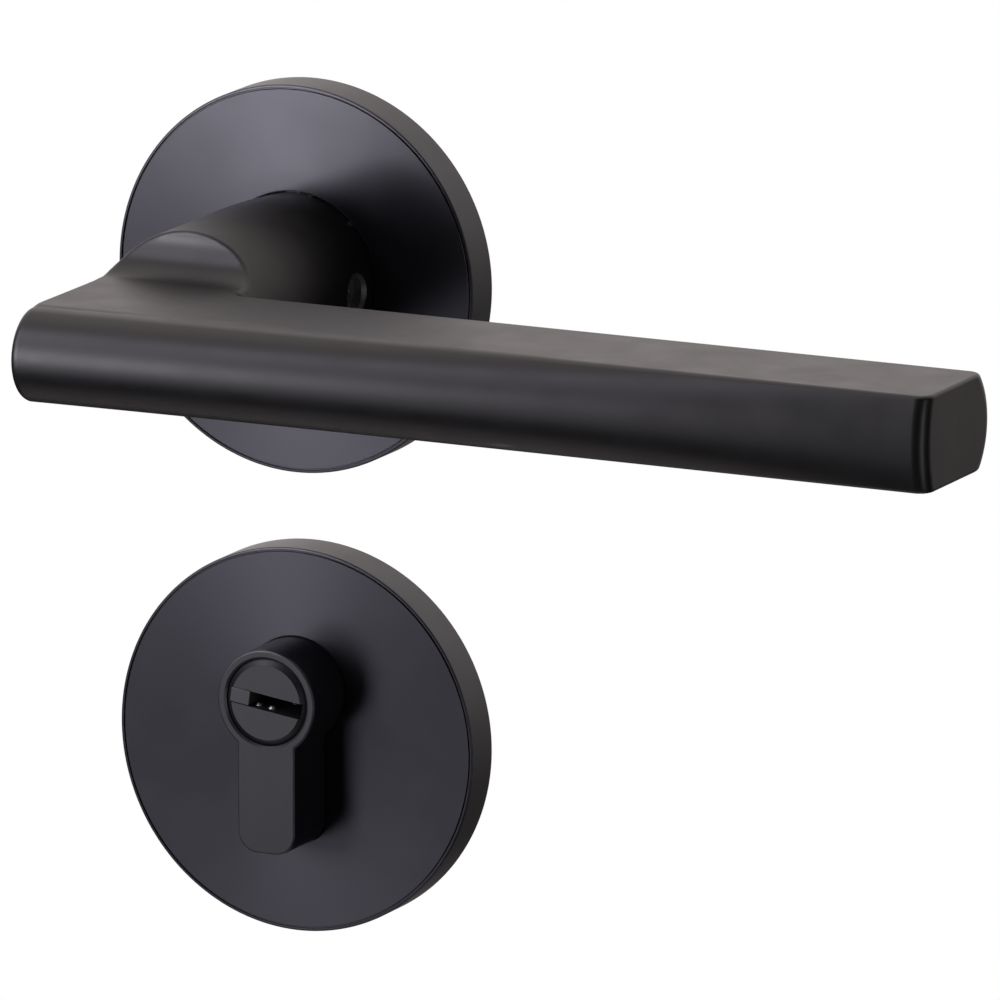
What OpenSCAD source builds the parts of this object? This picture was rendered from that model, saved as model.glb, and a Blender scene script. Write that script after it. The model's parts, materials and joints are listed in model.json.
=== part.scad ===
// Lever handle on a round sprung rose, with a keyed half cylinder in a matching round escutcheon.
// Frame: origin on the spindle axis at the door face, -Y out of the door, +X along the lever, +Z up.
// Inside from_door() a part is drawn with its z axis pointing straight out of the door face.

/* [Rose and escutcheon] */
// Diameter of the rose and of the escutcheon
rose_d = 62; // [58:0.5:66]
// How far each cover stands off the door
rose_t = 7.2; // [6.8:0.1:9]
// Thickness of a cover's rim
rim_wall = 1.5; // [1:0.1:2]
// Thickness of a cover's face
face_wall = 1.4; // [1.2:0.1:1.4]
// Distance between the two door fixing screws
fixing_pitch = 38; // [36:0.5:40]
// Diameter of each fixing screw's hole
fixing_d = 4.4; // [4:0.1:5]

/* [Lever] */
// Left end of the grip bar, measured from the spindle axis
bar_left = -11.8; // [-13:0.1:-10]
// Tip of the grip bar, measured from the spindle axis
bar_tip = 139.5; // [110:0.5:150]
// Height of the grip bar
bar_h = 15; // [13:0.2:16]
// Distance from the door face to the front edges of the bar
bar_front = 74; // [66:0.5:80]
// Distance from the door face to the rear edges of the bar
bar_rear = 53.5; // [50:0.5:60]
// Bulge of the rounded front at the neck
nose_neck = 7.3; // [3:0.1:7.4]
// Bulge of the rounded front at the tip
nose_tip = 1.3; // [1:0.1:4]
// Bulge of the rounded rear
back_bulge = 2.8; // [1:0.1:4]
// Radius of the scoop that runs from the bar up to the neck
scoop_r = 6.5; // [5:0.5:8]
// Distance from the door face at which the neck's round section ends
scoop_low = 43.5; // [38:0.5:48]
// Radius of the neck at the rose
neck_r = 13.8; // [12:0.1:14]
// Radius of the shank that turns in the rose
shank_r = 10; // [9:0.1:10.5]
// Distance of the set screw from the door face
grub_out = 13.7; // [12:0.1:18]

/* [Spindle] */
// Side of the square spindle
spindle_w = 8; // [7:0.5:8]
// Length of spindle behind the door face
spindle_back = 36; // [30:1:50]
// Length of spindle inside the lever
spindle_in = 33; // [25:1:34]

/* [Cylinder] */
// Height of the plug's axis
plug_z = -66; // [-92:1:-64]
// How far the plug's axis sits above the escutcheon's centre
plug_above = 8.2; // [7.5:0.1:8.2]
// Radius of the round part of the cylinder
cyl_r = 8.5; // [8.5:0.1:8.6]
// Width of the cylinder's leg
leg_w = 10; // [9.8:0.1:10.2]
// Overall height of the cylinder
cyl_h = 33; // [32:0.5:34]
// How far the cylinder stands proud of the escutcheon
cyl_proud = 10.5; // [3:0.5:12]
// Length from the cylinder's front to the middle of its cam
cyl_front = 35; // [30:5:40]
// Length from the middle of the cam to the cylinder's rear
cyl_back = 10; // [10:1:10]
// Radius of the plug
plug_r = 7; // [6.8:0.1:7]
// Angle of the keyway across the plug's face
keyway_angle = -8; // [-15:1:15]
// Height of the keyway
keyway_h = 2.5; // [2.2:0.1:2.8]

/* [Return spring] */
// Wire diameter
wire_d = 1; // [0.8:0.1:1]
// Number of full turns
spring_turns = 2; // [1:1:2]

/* [Hidden] */

black = [0.10, 0.10, 0.11];
steel = [0.62, 0.63, 0.65];
nylon = [0.86, 0.85, 0.80];
brass = [0.72, 0.58, 0.30];

eps = 0.01;
run_gap = 0.05;              // radial clearance of a running fit
snug_gap = 0.02;             // radial clearance between parts that do not turn on each other
cover_gap = 0.1;             // clearance between a cover and its base
bar_half = bar_h / 2;
neck_grow = 0.7;             // how much wider the neck is above the rose

// Layers of the rose, as distances out of the door face
base_t = 1.6;                // base plate
cavity_top = rose_t - face_wall;
hub_low = 1.8;               // bearing plate at the centre of the base
hub_top = 4.0;
bush_flange_t = 0.6;
driver_low = hub_top + bush_flange_t + 0.1;
driver_t = 1.0;
neck_low = driver_low + driver_t + 0.05;
neck_hole_r = neck_r + 0.4;
rim_r = rose_d / 2 - rim_wall - cover_gap;
rim_in = rim_r - 2;
rim_top = cavity_top - 0.3;
snap_low = 3.0;
snap_d = 1.0;

// Cassette
bush_r = shank_r + 1.5;
hub_r = 12.8;
circlip_low = 0.3;
circlip_t = 0.95;
washer_low = circlip_low + circlip_t + 0.05;
washer_t = 0.4;
groove_depth = 0.8;
flat_x = shank_r - 1.5;      // half distance across the two flats that drive the spring driver
coil_r = hub_r + 0.6 + wire_d / 2;
coil_low = base_t + 0.1;
leg_gap = 5.6;               // distance between the two legs of the return spring
leg_end_r = 20.5;
post_w = leg_gap - wire_d - 0.5;
post_r0 = 17.7;
post_r1 = 20.3;
lug_r1 = 17.2;
lug_w = post_w;
stop_turn = 46;              // the driver meets its stop at this angle
stop_lug_half = 10;
stop_block_half = 5;

// Escutcheon and cylinder
esc_z = plug_z - plug_above;
face_out = rose_t + cyl_proud;
cam_mid = face_out - cyl_front;
cyl_end = cam_mid - cyl_back;
cam_slot = 10;
slot_top = cam_mid + cam_slot / 2;
slot_low = cam_mid - cam_slot / 2;
leg_low = cyl_h - cyl_r;
leg_corner = 3.5;
bore_r = plug_r + run_gap;
spigot_r = 4.5;
spigot_end = slot_low - 3;
cam_r = 15;
cam_neck = 4.9;
m5_minor_r = 2.1;
m5_drop = 20;
clip_t = 0.8;
insert_x = -2.9;             // where the keyway insert ends and the open keyway begins
keyway_right = 6.3;
insert_left = -6.3;
insert_deep = 11;
keyway_deep = 29;
pin_r = 0.9;
pin_row_depth = [2, 10.5, 19];
lower_cols = [-1.95, 0.35];
upper_cols = [1.7, 4.25];
upper_pin_top = 4.1;
pin_tip_in = 0.35;           // how far a pin's tip stands into the keyway
driver_len = 4.2;
driver_r = 0.95;
chamber_r = 1.0;
chamber_plug_t = 2.0;
shear_out = plug_r + 0.12;

module from_door() {
    rotate([90, 0, 0]) children();
}

module at_plug() {
    translate([0, 0, plug_z]) from_door() children();
}

module ring(r_out, r_in, low, high) {
    difference() {
        translate([0, 0, low]) cylinder(r = r_out, h = high - low, $fn = 96);
        translate([0, 0, low - 1]) cylinder(r = r_in, h = high - low + 2, $fn = 96);
    }
}

// A ring sector, centred on an angle
module sector(r_out, r_in, low, high, angle, half) {
    rotate([0, 0, angle - half])
        translate([0, 0, low])
            rotate_extrude(angle = 2 * half, $fn = 96)
                translate([r_in, 0]) square([r_out - r_in, high - low]);
}

// Two triangles that fill a four-sided face
function quad(a, b, c, d) = [[a, b, c], [a, c, d]];

// A closed tube swept along points; each ring lies square to the path
function unit(v) = v / norm(v);
function tangent(p, i) = unit(p[min(i + 1, len(p) - 1)] - p[max(i - 1, 0)]);
function ring_at(c, t, up, r, n) =
    let (side = unit(cross(t, up)), over = cross(side, t))
    [for (k = [0 : n - 1]) c + r * (cos(360 * k / n) * side + sin(360 * k / n) * over)];

module tube(path, r, n, up = [0, 0, 1]) {
    last = len(path) - 1;
    points = [for (i = [0 : last]) each ring_at(path[i], tangent(path, i), up, r, n)];
    sides = [for (i = [0 : last - 1], k = [0 : n - 1])
        each quad(i * n + k, i * n + (k + 1) % n, (i + 1) * n + (k + 1) % n, (i + 1) * n + k)];
    first_cap = [for (k = [n - 1 : -1 : 0]) k];
    last_cap = [for (k = [0 : n - 1]) last * n + k];
    polyhedron(points, concat(sides, [first_cap], [last_cap]), convexity = 6);
}

// ---------- lever ----------

function mix(a, b, t) = a + (b - a) * t;
function arc_r(bulge) = (bar_half * bar_half + bulge * bulge) / (2 * bulge);
function arc_points(edge, bulge, side, n) =
    let (r = arc_r(bulge), phi = asin(bar_half / r))
    [for (i = [0 : n]) let (a = side * (phi - 2 * phi * i / n))
        [edge + side * (bulge - r) + side * r * cos(a), r * sin(a)]];

// Outline of the bar at a fraction t of its length, as [distance from the door, height]
function bar_outline(t) = concat(
    arc_points(bar_front, mix(nose_neck, nose_tip, t), 1, 14),
    arc_points(bar_rear, back_bulge, -1, 8));

module grip_bar() {
    stations = 12;
    n = len(bar_outline(0));
    points = [for (i = [0 : stations]) each
        [for (q = bar_outline(i / stations)) [mix(bar_left, bar_tip, i / stations), q[1], q[0]]]];
    sides = [for (i = [0 : stations - 1], k = [0 : n - 1])
        each quad(i * n + k, (i + 1) * n + k, (i + 1) * n + (k + 1) % n, i * n + (k + 1) % n)];
    left = [for (k = [0 : n - 1]) k];
    right = [for (k = [n - 1 : -1 : 0]) stations * n + k];
    polyhedron(points, concat(sides, [left], [right]), convexity = 4);
}

// Radius of the neck against distance from the door
neck_profile = [[neck_low, neck_r], [20, neck_r + neck_grow]];
neck_end = bar_front - 4;
scoop_out = scoop_low + scoop_r;
left_step = neck_r + neck_grow + bar_left;
wall_z = bar_half + scoop_r - 0.5;

module neck_body() {
    difference() {
        rotate([0, 0, 120]) rotate_extrude($fn = 96)
            polygon(concat([[0, neck_low]], [for (p = neck_profile) [p[1], p[0]]],
                [[neck_r + neck_grow, neck_end], [0, neck_end]]));
        for (side = [1, -1]) {
            translate([-30, side * (bar_half + scoop_r), scoop_out])
                rotate([0, 90, 0]) cylinder(r = scoop_r, h = 60, $fn = 96);
            translate([-30, side > 0 ? bar_half : -bar_half - 20, scoop_out]) cube([60, 20, 40]);
            translate([-30, side > 0 ? wall_z : -wall_z - 20, scoop_low + 0.05]) cube([60, 20, 20]);
        }
        translate([0, 30, 0]) rotate([90, 0, 0]) linear_extrude(60)
            polygon([[bar_left - left_step, bar_rear - 20], [bar_left, bar_rear], [bar_left, bar_front],
                [-40, bar_front], [-40, bar_rear - 20]]);
        translate([1, 0, grub_out]) rotate([0, 90, 0]) cylinder(r = 3, h = 20, $fn = 48);
        translate([neck_r - 0.6, 0, grub_out])
            rotate([0, 90, 0]) cylinder(r1 = 2.8, r2 = 4.8, h = 2, $fn = 48);
    }
}

module lever_handle() {
    color(black) from_door() difference() {
        union() {
            grip_bar();
            neck_body();
            intersection() {
                cylinder(r = shank_r, h = neck_low + 1, $fn = 96);
                union() {
                    cylinder(r = shank_r, h = driver_low - 0.05, $fn = 96);
                    translate([-flat_x, -shank_r, 0]) cube([2 * flat_x, 2 * shank_r, neck_low + 1]);
                }
            }
        }
        ring(shank_r + 1, shank_r - groove_depth, circlip_low - 0.05, circlip_low + circlip_t + 0.05);
        translate([-spindle_w / 2 - 0.05, -spindle_w / 2 - 0.05, -1])
            cube([spindle_w + 0.1, spindle_w + 0.1, spindle_in + 1.5]);
    }
}

module lever_set_screw() {
    start = spindle_w / 2 + 0.01;
    color(steel) from_door() translate([start, 0, grub_out]) rotate([0, 90, 0]) difference() {
        union() {
            cylinder(r1 = 2, r2 = 3 - snug_gap, h = 1, $fn = 48);
            translate([0, 0, 1]) cylinder(r = 3 - snug_gap, h = 7, $fn = 48);
        }
        translate([0, 0, 4.5]) cylinder(r = 1.73, h = 5, $fn = 6);
    }
}

module spindle() {
    half = spindle_w / 2;
    length = spindle_back + spindle_in;
    color(steel) from_door() translate([0, 0, -spindle_back]) difference() {
        translate([-half, -half, 0]) cube([spindle_w, spindle_w, length]);
        for (turn = [0 : 90 : 270]) rotate([0, 0, turn]) translate([half - 0.8, -half - 1, -eps])
            rotate([0, 45, 0]) translate([0, 0, -3]) cube([3, spindle_w + 2, 3]);
    }
}

module spring_driver() {
    top = driver_low + driver_t;
    color(steel) from_door() difference() {
        union() {
            translate([0, 0, driver_low]) cylinder(r = 13.2, h = driver_t, $fn = 96);
            translate([-lug_w / 2, -lug_r1, driver_low]) cube([lug_w, lug_r1 - 12, driver_t]);
            translate([-lug_w / 2, -lug_r1, coil_low]) cube([lug_w, 1.4, top - coil_low]);
            sector(lug_r1, 12, driver_low, top, 90, stop_lug_half);
            sector(lug_r1, 15.6, coil_low, top, 90, stop_lug_half);
        }
        difference() {
            translate([0, 0, driver_low - 1]) cylinder(r = shank_r + snug_gap, h = 3, $fn = 96);
            for (side = [0, 180]) rotate([0, 0, side])
                translate([flat_x + snug_gap, -20, driver_low - 2]) cube([10, 40, 5]);
        }
    }
}

module retaining_circlip() {
    inner = shank_r - groove_depth + snug_gap;
    color(steel) from_door() difference() {
        union() {
            ring(inner + 1.9, inner, circlip_low, circlip_low + circlip_t);
            for (side = [-1, 1]) rotate([0, 0, -90 + side * 16])
                translate([inner + 1.25, 0, circlip_low]) cylinder(r = 1.25, h = circlip_t, $fn = 32);
        }
        rotate([0, 0, -90]) translate([0, -1.6, -1]) cube([20, 3.2, 5]);
        for (side = [-1, 1]) rotate([0, 0, -90 + side * 16])
            translate([inner + 1.35, 0, -1]) cylinder(r = 0.55, h = 5, $fn = 24);
    }
}

module thrust_washer() {
    color(steel) from_door() ring(12.3, shank_r + run_gap, washer_low, washer_low + washer_t);
}

module neck_bush() {
    color(nylon) from_door() difference() {
        union() {
            translate([0, 0, hub_low]) cylinder(r = bush_r, h = hub_top - hub_low + 0.1, $fn = 96);
            translate([0, 0, hub_top]) cylinder(r = hub_r, h = bush_flange_t, $fn = 96);
        }
        translate([0, 0, -1]) cylinder(r = shank_r + run_gap, h = 10, $fn = 96);
    }
}

// Torsion spring round the hub: its two legs point down, one on each side of the post
module return_spring() {
    steps = 24;
    half = leg_gap / 2;
    start = -90 + asin(half / coil_r);
    sweep = 360 * spring_turns - 2 * asin(half / coil_r);
    rise = (wire_d + 0.06) * spring_turns;
    low = coil_low + wire_d / 2;
    coil = [for (i = [0 : steps * spring_turns]) let (t = i / (steps * spring_turns), a = start + sweep * t)
        [coil_r * cos(a), coil_r * sin(a), low + rise * t]];
    first_leg = [for (r = [leg_end_r : -1.2 : coil_r + 0.8]) [half, -r, low]];
    last_leg = [for (r = [coil_r + 0.8 : 1.2 : leg_end_r]) [-half, -r, low + rise]];
    color(steel) from_door() tube(concat(first_leg, coil, last_leg), wire_d / 2, 8);
}

// ---------- rose ----------

module fixing_holes(low, high) {
    for (side = [-1, 1]) translate([side * fixing_pitch / 2, 0, 0]) {
        translate([0, 0, low - 1]) cylinder(r = fixing_d / 2, h = high - low + 2, $fn = 48);
        translate([0, 0, high - 0.6]) cylinder(r1 = fixing_d / 2, r2 = fixing_d / 2 + 1.2, h = 1.2, $fn = 48);
    }
}

// Plate with a rim that carries a cover and its snap ring
module base_body() {
    difference() {
        union() {
            translate([0, 0, 0]) cylinder(r = rim_r, h = base_t, $fn = 128);
            ring(rim_r, rim_in, 0, rim_top);
        }
        fixing_holes(0, base_t);
        ring(rim_r + 1, rim_r - snap_d - 0.1, snap_low - 0.05, snap_low + snap_d + 0.05);
    }
}

module snap_ring() {
    color(steel) difference() {
        translate([0, 0, snap_low + snap_d / 2])
            rotate_extrude($fn = 128) translate([rim_r - snap_d / 2 + 0.05, 0]) circle(r = snap_d / 2, $fn = 24);
        translate([0, 0, 0]) rotate([0, 0, 135]) translate([20, -2, 0]) cube([20, 4, 8]);
    }
}

// Cup that hides the base; its face has a fine line just inside the rim
module cover_body() {
    r = rose_d / 2;
    line_r = r - 0.85;
    line_w = 0.3;
    line_deep = 0.3;
    edge = 0.4;
    rotate_extrude($fn = 180)
        polygon([[0, cavity_top], [r - rim_wall, cavity_top], [r - rim_wall, 0], [r, 0], [r, rose_t - edge],
            [r - edge, rose_t], [line_r, rose_t], [line_r, rose_t - line_deep],
            [line_r - line_w, rose_t - line_deep], [line_r - line_w, rose_t], [0, rose_t]]);
}

module rose_base() {
    color(steel) from_door() difference() {
        union() {
            base_body();
            translate([0, 0, base_t - eps]) cylinder(r = hub_r, h = hub_top - base_t, $fn = 96);
            translate([-post_w / 2, -post_r1, base_t - eps]) cube([post_w, post_r1 - post_r0, 3.6]);
            for (side = [-1, 1])
                sector(17.4, 15.2, base_t - eps, driver_low + driver_t - 0.1,
                    90 + side * (stop_turn + stop_lug_half + stop_block_half), stop_block_half);
        }
        translate([0, 0, -1]) cylinder(r = 12.6, h = hub_low + 1, $fn = 96);
        translate([0, 0, -1]) cylinder(r = bush_r + snug_gap, h = 8, $fn = 96);
    }
}

module rose_snap_ring() {
    from_door() snap_ring();
}

module rose_cover() {
    color(black) from_door() difference() {
        cover_body();
        cylinder(r = neck_hole_r, h = rose_t + 1, $fn = 128);
    }
}

// ---------- escutcheon ----------

// Section of the cylinder, drawn round the plug's axis and grown by a margin
module euro_section(margin) {
    half = leg_w / 2 + margin;
    low = leg_low + margin;
    corner = leg_corner + margin;
    circle(r = cyl_r + margin, $fn = 96);
    translate([-half, -low + corner]) square([2 * half, low - corner]);
    translate([-half + corner, -low]) square([2 * (half - corner), corner + eps]);
    for (side = [-1, 1]) translate([side * (half - corner), -low + corner]) circle(r = corner, $fn = 48);
}

module at_escutcheon() {
    translate([0, 0, esc_z]) from_door() children();
}

module escutcheon_base() {
    color(steel) at_escutcheon() difference() {
        base_body();
        translate([0, plug_above, -1]) linear_extrude(6) euro_section(0.15);
    }
}

module escutcheon_snap_ring() {
    at_escutcheon() snap_ring();
}

module escutcheon_cover() {
    color(black) at_escutcheon() difference() {
        cover_body();
        translate([0, plug_above, 0]) linear_extrude(rose_t + 1) euro_section(0.4);
    }
}

// ---------- cylinder ----------

module turned() {
    rotate([0, 0, keyway_angle]) children();
}

module pin_places(cols) {
    for (depth = pin_row_depth, col = cols) translate([col, 0, face_out - depth]) children();
}

// Driver chambers drilled up through the leg
module chambers(r, top, low) {
    pin_places(lower_cols) rotate([90, 0, 0]) translate([0, 0, top]) cylinder(r = r, h = low - top, $fn = 32);
}

module cylinder_housing() {
    edge = 0.4;
    color(black) at_plug() difference() {
        translate([0, 0, cyl_end]) linear_extrude(face_out - cyl_end) euro_section(0);
        translate([0, 0, slot_top]) cylinder(r = bore_r, h = 60, $fn = 96);
        translate([0, 0, face_out - edge])
            cylinder(r1 = bore_r, r2 = bore_r + edge + 0.1, h = edge + 0.1, $fn = 96);
        translate([0, 0, spigot_end - 0.5]) cylinder(r = spigot_r + run_gap, h = 60, $fn = 64);
        translate([0, 0, slot_low]) cylinder(r = cam_r + 0.4, h = cam_slot, $fn = 96);
        translate([-20, -m5_drop, cam_mid]) rotate([0, 90, 0]) cylinder(r = m5_minor_r, h = 40, $fn = 48);
        chambers(chamber_r, plug_r - 1, cyl_h);
    }
}

module cylinder_plug() {
    bevel = 0.8;
    color(black) at_plug() difference() {
        union() {
            translate([0, 0, slot_top + 0.05]) cylinder(r = plug_r, h = face_out - slot_top - 0.65, $fn = 96);
            translate([0, 0, face_out - 0.6 - eps])
                cylinder(r1 = plug_r, r2 = plug_r - bevel, h = 0.6, $fn = 96);
            difference() {
                translate([0, 0, spigot_end]) cylinder(r = spigot_r, h = slot_top - spigot_end + 1, $fn = 64);
                for (side = [-1, 1]) translate([side * (spigot_r + 4) - 5, -10, slot_low + 0.2])
                    cube([10, 20, cam_slot - clip_t - 0.4]);
                ring(spigot_r + 1, spigot_r - 0.6, slot_top - clip_t - 0.1, slot_top);
            }
        }
        turned() {
            translate([insert_x, -keyway_h / 2, face_out - keyway_deep])
                cube([keyway_right - insert_x, keyway_h, keyway_deep + 1]);
            translate([insert_left, -keyway_h / 2, face_out - insert_deep])
                cube([insert_x - insert_left + 1, keyway_h, insert_deep + 1]);
            pin_places(lower_cols) rotate([90, 0, 0]) cylinder(r = pin_r + snug_gap, h = 9, $fn = 32);
            pin_places(upper_cols) rotate([-90, 0, 0])
                cylinder(r = pin_r + snug_gap, h = upper_pin_top + 0.1, $fn = 32);
        }
    }
}

module keyway_insert() {
    inset = 0.06;
    color([0.16, 0.16, 0.17]) at_plug() turned()
        translate([insert_left + inset, -keyway_h / 2 + inset, face_out - insert_deep + inset])
            cube([insert_x - insert_left - inset, keyway_h - 2 * inset, insert_deep - inset - 0.1]);
}

// A pin with a cone at its inner end, drawn along z from its tip
module pin(r, length) {
    cone = 0.6;
    cylinder(r1 = r - 0.5, r2 = r, h = cone, $fn = 32);
    translate([0, 0, cone]) cylinder(r = r, h = length - cone, $fn = 32);
}

module lower_key_pins() {
    tip = keyway_h / 2 - pin_tip_in;
    color(brass) at_plug() intersection() {
        turned() pin_places(lower_cols) rotate([90, 0, 0]) translate([0, 0, tip]) pin(pin_r, 8);
        translate([0, 0, slot_top]) cylinder(r = plug_r - 0.02, h = 60, $fn = 96);
    }
}

module upper_key_pins() {
    tip = keyway_h / 2 - pin_tip_in;
    color(brass) at_plug() turned()
        pin_places(upper_cols) rotate([-90, 0, 0]) translate([0, 0, tip]) pin(pin_r, upper_pin_top - tip);
}

module driver_pins() {
    color(steel) at_plug() difference() {
        pin_places(lower_cols) rotate([90, 0, 0]) translate([0, 0, 5.5])
            cylinder(r = driver_r, h = driver_len + plug_r - 5.5, $fn = 32);
        translate([0, 0, slot_top]) cylinder(r = shear_out, h = 60, $fn = 96);
    }
}

module pin_springs() {
    turns = 5;
    steps = 8;
    wire = 0.17;
    top = -(plug_r + driver_len + 0.2);
    low = -(leg_low - chamber_plug_t - 0.25);
    coil = [for (i = [0 : turns * steps]) let (t = i / (turns * steps), a = 360 * i / steps)
        [(chamber_r - wire - 0.1) * cos(a), mix(top, low, t), (chamber_r - wire - 0.1) * sin(a)]];
    color(steel) at_plug() pin_places(lower_cols) tube(coil, wire, 4, [0, 1, 0]);
}

module chamber_plugs() {
    color(brass) at_plug() intersection() {
        chambers(chamber_r - snug_gap, leg_low - chamber_plug_t, cyl_h);
        translate([0, 0, cyl_end]) linear_extrude(face_out - cyl_end) euro_section(-0.02);
    }
}

module plug_clip() {
    inner = spigot_r - 0.6 + snug_gap;
    color(steel) at_plug() difference() {
        ring(inner + 2.2, inner, slot_top - clip_t - 0.05, slot_top - 0.05);
        translate([-1.5, 0, slot_top - 3]) cube([3, 20, 6]);
    }
}

module cylinder_cam() {
    low = slot_low + 0.3;
    high = slot_top - clip_t - 0.3;
    color(steel) at_plug() difference() {
        union() {
            translate([0, 0, low]) cylinder(r = cyl_r - 0.3, h = high - low, $fn = 96);
            intersection() {
                translate([-cam_neck, -cam_r, low]) cube([2 * cam_neck, cam_r, high - low]);
                translate([0, 0, low]) cylinder(r = cam_r, h = high - low, $fn = 96);
            }
        }
        intersection() {
            translate([0, 0, low - 1]) cylinder(r = spigot_r + snug_gap, h = 20, $fn = 64);
            translate([-3.5 - snug_gap, -10, low - 1]) cube([7 + 2 * snug_gap, 20, 20]);
        }
    }
}

lever_handle();
lever_set_screw();
spindle();
spring_driver();
retaining_circlip();
thrust_washer();
neck_bush();
return_spring();
rose_base();
rose_snap_ring();
rose_cover();
escutcheon_base();
escutcheon_snap_ring();
escutcheon_cover();
cylinder_housing();
cylinder_plug();
keyway_insert();
lower_key_pins();
upper_key_pins();
driver_pins();
pin_springs();
chamber_plugs();
plug_clip();
cylinder_cam();
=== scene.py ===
"""Looks for a lever handle on a round rose and a keyed half cylinder in a matching escutcheon.

Lengths named here are millimetres. Shapes are drawn as (x, out, z), where out is the distance from
the door face, and become metres in the shared frame, whose -Y points out of the door.
"""
import json
import math

import bmesh
import bpy
import numpy as np
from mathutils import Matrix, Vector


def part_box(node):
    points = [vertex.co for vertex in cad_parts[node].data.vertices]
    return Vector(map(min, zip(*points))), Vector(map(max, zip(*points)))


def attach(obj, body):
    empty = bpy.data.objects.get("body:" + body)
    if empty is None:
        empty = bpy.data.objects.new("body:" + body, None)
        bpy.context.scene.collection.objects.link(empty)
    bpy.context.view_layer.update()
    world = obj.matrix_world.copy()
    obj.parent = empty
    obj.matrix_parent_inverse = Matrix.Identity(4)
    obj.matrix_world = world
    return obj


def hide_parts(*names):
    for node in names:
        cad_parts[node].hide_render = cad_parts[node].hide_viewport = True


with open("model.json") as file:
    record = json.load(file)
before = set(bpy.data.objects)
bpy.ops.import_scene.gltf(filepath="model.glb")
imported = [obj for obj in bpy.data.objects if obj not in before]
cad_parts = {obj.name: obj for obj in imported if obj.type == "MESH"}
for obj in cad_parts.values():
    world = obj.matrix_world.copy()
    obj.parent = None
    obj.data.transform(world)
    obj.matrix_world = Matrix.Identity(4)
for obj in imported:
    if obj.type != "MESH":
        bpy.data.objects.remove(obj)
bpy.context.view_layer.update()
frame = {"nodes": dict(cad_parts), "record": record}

MM = 0.001
DOOR_BODY = "door_set"
LEVER_BODY = "lever_set"
PLUG_BODY = "plug_set"


def extent(node):
    """Lowest and highest corner of a CAD node in millimetres, as (x, out, z)."""
    low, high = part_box(node)
    return (np.array([low.x, -high.y, low.z]) / MM, np.array([high.x, -low.y, high.z]) / MM)


# ---------------------------------------------------------------- sizes
cover_high = extent("rose_cover")[1]
lever_high = extent("lever_handle")[1]
housing_low, housing_high = extent("cylinder_housing")
plug_high = extent("cylinder_plug")[1]
escutcheon_low, escutcheon_high = extent("escutcheon_cover")
spindle_high = extent("spindle")[1]
grub_low, grub_high = extent("lever_set_screw")

# Covers: radius, thickness, walls, and the fine line just inside the rim
COVER_R = cover_high[0]
COVER_T = cover_high[1]
RIM_WALL = 1.5
FACE_WALL = 1.4
RIM_EDGE = 0.22
LINE_R = COVER_R - 0.45
LINE_W = 0.24
LINE_DEEP = 0.3
NECK_GAP = 0.2
CYLINDER_GAP = 0.15
LIP_GAP = 0.3
LIP_DEEP = 0.12
ESCUTCHEON_Z = (escutcheon_low[2] + escutcheon_high[2]) / 2

# Cylinder: Euro section, cam slot, plug, keyway and key pins
CYL_R = housing_high[0]
PLUG_Z = housing_high[2] - CYL_R
LEG_LOW = PLUG_Z - housing_low[2]
LEG_HALF = 5.0
LEG_CORNER = 3.5
FACE_OUT = housing_high[1]
CYL_END = housing_low[1]
CAM_OUT = FACE_OUT - 35.0
CAM_HALF = 5.0
CAM_REACH = 15.4
SCREW_BELOW = 20
SCREW_R = 2.1
PLUG_R = plug_high[0]
PLUG_FACE_OUT = FACE_OUT + 0.1
PLUG_BEVEL = 0.85
PLUG_TAIL_R = 4.5
RUN_GAP = 0.05
KEYWAY_ANGLE = math.radians(-8)
KEYWAY_H = 2.5
KEYWAY_LEFT = -2.9
KEYWAY_RIGHT = 6.3
INSERT_LEFT = -6.3
INSERT_DEEP = 11
INSERT_GAP = 0.09
PIN_R = 0.9
PIN_TIP_R = 0.35
PIN_TIP, PIN_SHOULDER, PIN_TOP = 0.45, 0.95, 4.1
PIN_DEPTHS = (2.0, 10.5, 19.0)
UPPER_COLUMNS = (1.7, 4.25)

# Lever: grip bar, its rounded front and rear, the scoop behind it, neck, shank and screw hole
BAR_LEFT = -11.8
BAR_TIP = lever_high[0]
BAR_HALF = 7.5
BAR_FRONT = 74.0
BAR_REAR = 53.5
NOSE_NECK = 7.3
NOSE_TIP = 1.3
BACK_BULGE = 2.8
SCOOP_LOW = 43.5
SCOOP_R = 6.5
SCOOP_OUT = SCOOP_LOW + SCOOP_R
NECK_R = 13.8
NECK_GROW = 0.7
NECK_LOW = 5.75
SHANK_R = 10.0
SHANK_END = spindle_high[1] - 33.0
GROOVE_LOW, GROOVE_HIGH, GROOVE_DEEP = 0.25, 1.3, 0.8
CORNER_R = 2.0
TIP_EDGE_R = 2.2
LEFT_EDGE_R = 1.2
EDGE_R = 0.5
INWARD_SLOPE = 0.35
GRUB_OUT = (grub_low[1] + grub_high[1]) / 2
GRUB_R = 3.0
SOCKET_HALF = 4.05


AXIS_R = 0.001  # a lathe profile starts this close to its axis


# ---------------------------------------------------------------- mesh helpers
def to_world(points):
    p = np.asarray(points, float)
    return np.stack([p[..., 0], -p[..., 1], p[..., 2]], -1) * MM


def new_object(name, points, faces):
    """Object from points (x, out, z) in millimetres, with faces anticlockwise seen from outside."""
    mesh = bpy.data.meshes.new(name)
    flipped = [tuple(reversed(f)) for f in faces]
    mesh.from_pydata(to_world(points).tolist(), [], flipped)
    mesh.update()
    obj = bpy.data.objects.new(name, mesh)
    bpy.context.scene.collection.objects.link(obj)
    return obj


def settle(obj):
    """Replaces the mesh with its modified one, so that no modifier is left."""
    bpy.context.view_layer.update()
    graph = bpy.context.evaluated_depsgraph_get()
    mesh = bpy.data.meshes.new_from_object(obj.evaluated_get(graph))
    obj.modifiers.clear()
    obj.data = mesh
    return obj


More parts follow.
